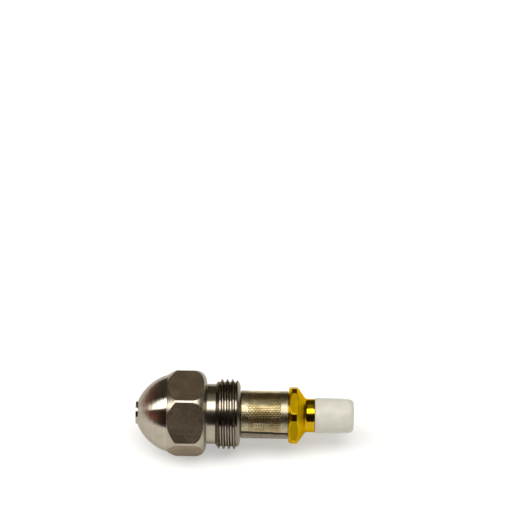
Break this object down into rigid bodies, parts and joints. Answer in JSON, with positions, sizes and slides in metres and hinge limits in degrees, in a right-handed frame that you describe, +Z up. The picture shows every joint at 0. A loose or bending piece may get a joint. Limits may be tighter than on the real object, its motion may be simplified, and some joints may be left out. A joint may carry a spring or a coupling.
{
  "type": "oil burner nozzle",
  "caption": "Domed hexagon return-flow spray nozzle with adapter thread, wire strainer and push-fit return seal for an oil burner.",
  "frame": {"origin": "on the nozzle's axis, in the middle of the adapter thread", "axes": "+X along the nozzle's axis from the spray tip to the return seal, which is also the way the adapter comes off; +Z up with a flat of the spanner hexagon underneath"},
  "size_m": [0.0442, 0.0178, 0.0158],
  "materials": {
    "stainless": "turned",
    "hard_steel": "ground",
    "brass": "turned, bright",
    "screen_wire": "woven wire",
    "solder": "satin",
    "seal_plastic": "matt",
    "o_ring_rubber": "matt"
  },
  "bodies": {
    "nozzle": {"nozzle_body": "stainless", "orifice_insert": "hard_steel", "swirl_distributor": "hard_steel", "lock_screw": "stainless"},
    "o_ring": {"return_o_ring": "o_ring_rubber"},
    "strainer": {"strainer_spigot": "brass", "return_tube": "brass", "screen_sleeve": "brass", "wire_screen": "screen_wire", "front_solder_band": "solder", "rear_solder_band": "solder", "hex_return_end": "brass"},
    "seal": {"return_seal": "seal_plastic"}
  },
  "joints": [
    {"name": "strainer_advance", "type": "slide", "parent": "nozzle", "child": "o_ring", "axis": [1, 0, 0], "range_m": [0, 0.0052]},
    {"name": "strainer_turn", "type": "hinge", "parent": "o_ring", "child": "strainer", "pos_m": [0, 0, 0], "axis": [1, 0, 0], "range_deg": [0, 2340]},
    {"name": "seal_pull", "type": "slide", "parent": "strainer", "child": "seal", "axis": [1, 0, 0], "range_m": [0, 0.0075]}
  ],
  "couplings": [
    {"joint": "strainer_advance", "follows": "strainer_turn", "m_per_rad": 0.00012637}
  ]
}
